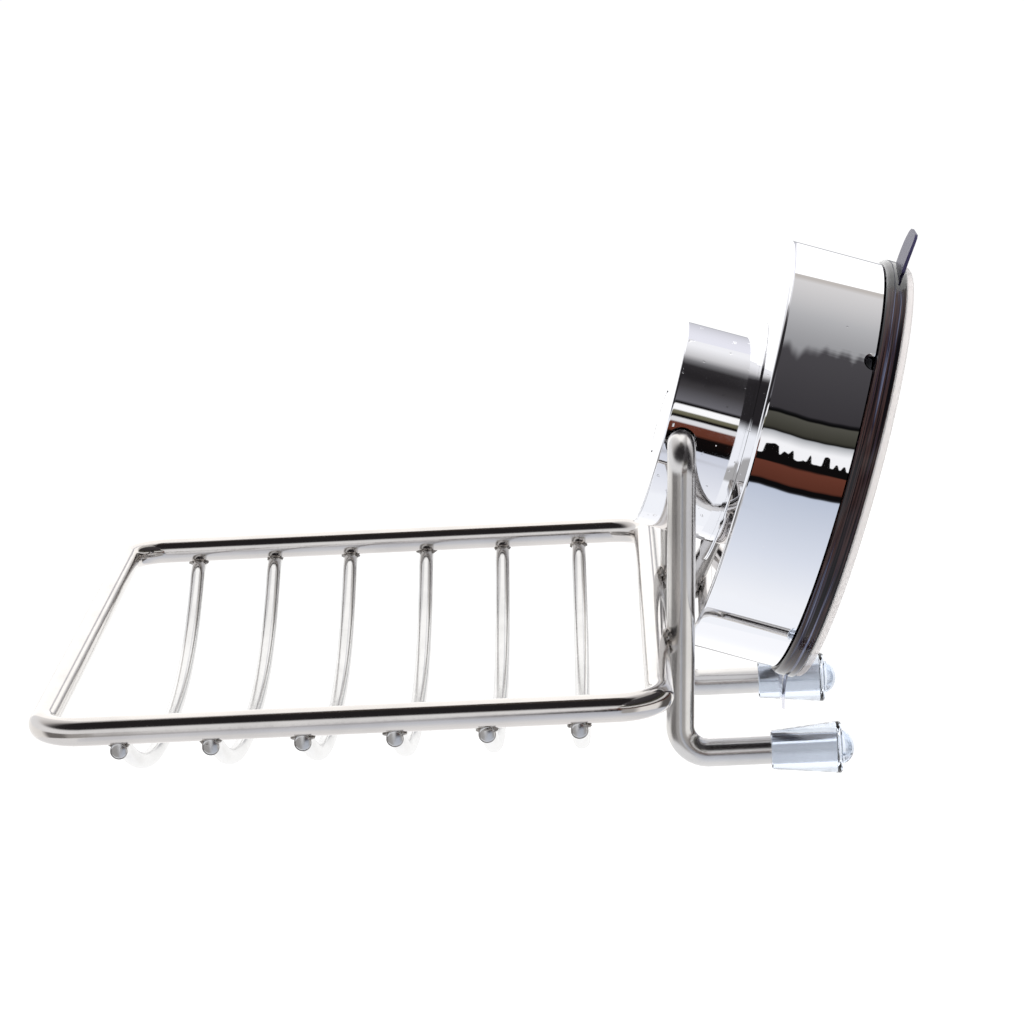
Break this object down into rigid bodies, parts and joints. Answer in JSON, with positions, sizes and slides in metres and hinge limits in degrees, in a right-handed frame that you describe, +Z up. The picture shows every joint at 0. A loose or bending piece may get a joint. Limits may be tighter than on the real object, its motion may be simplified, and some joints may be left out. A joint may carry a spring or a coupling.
{
  "type": "suction cup soap holder",
  "caption": "Wire soap rack with sagging cross wires, swung from the hub of a twist-lock suction mount with clear pad and capped feet.",
  "frame": {"origin": "centre of the suction face, where the film meets the wall", "axes": "+Z up with the rack level, +X towards the wall, the rack reaches along -X, Y runs across the rack; the mount leans back about Y"},
  "size_m": [0.1606, 0.145, 0.0961],
  "materials": {
    "wire": "satin polished stainless wire",
    "plate": "mirror chrome plate",
    "clear": "clear soft plastic",
    "film": "translucent tacky film",
    "washer": "black plastic",
    "inner_plastic": "black plastic",
    "bush": "turned brass"
  },
  "bodies": {
    "suction_base": {"suction_pad": "clear", "gel_film": "film", "pressure_ring": "inner_plastic"},
    "dial": {"dial_housing": "plate", "thread_bush": "bush"},
    "draw_stem": {"stem": "wire", "pad_boss": "clear", "hub": "plate", "hub_screw": "wire", "hub_plug": "plate", "hub_washer": "washer"},
    "rack": {"tray_frame": "wire", "cross_wire_1": "wire", "cross_wire_2": "wire", "cross_wire_3": "wire", "cross_wire_4": "wire", "cross_wire_5": "wire", "cross_wire_6": "wire", "hanger_wire_near": "wire", "hanger_wire_far": "wire", "foot_cap_near": "clear", "foot_cap_far": "clear"}
  },
  "joints": [
    {"name": "dial_twist", "type": "hinge", "parent": "suction_base", "child": "dial", "pos_m": [0, 0, 0], "axis": [0.9521, 0, -0.3059], "range_deg": [0, 270]},
    {"name": "stem_draw", "type": "slide", "parent": "suction_base", "child": "draw_stem", "axis": [-0.9521, 0, 0.3059], "range_m": [0, 0.004]},
    {"name": "rack_swing", "type": "hinge", "parent": "draw_stem", "child": "rack", "pos_m": [-0.03228, 0, 0.011], "axis": [0, 1, 0], "range_deg": [0, 105]}
  ],
  "couplings": [
    {"joint": "stem_draw", "follows": "dial_twist", "m_per_rad": 0.0008488}
  ]
}
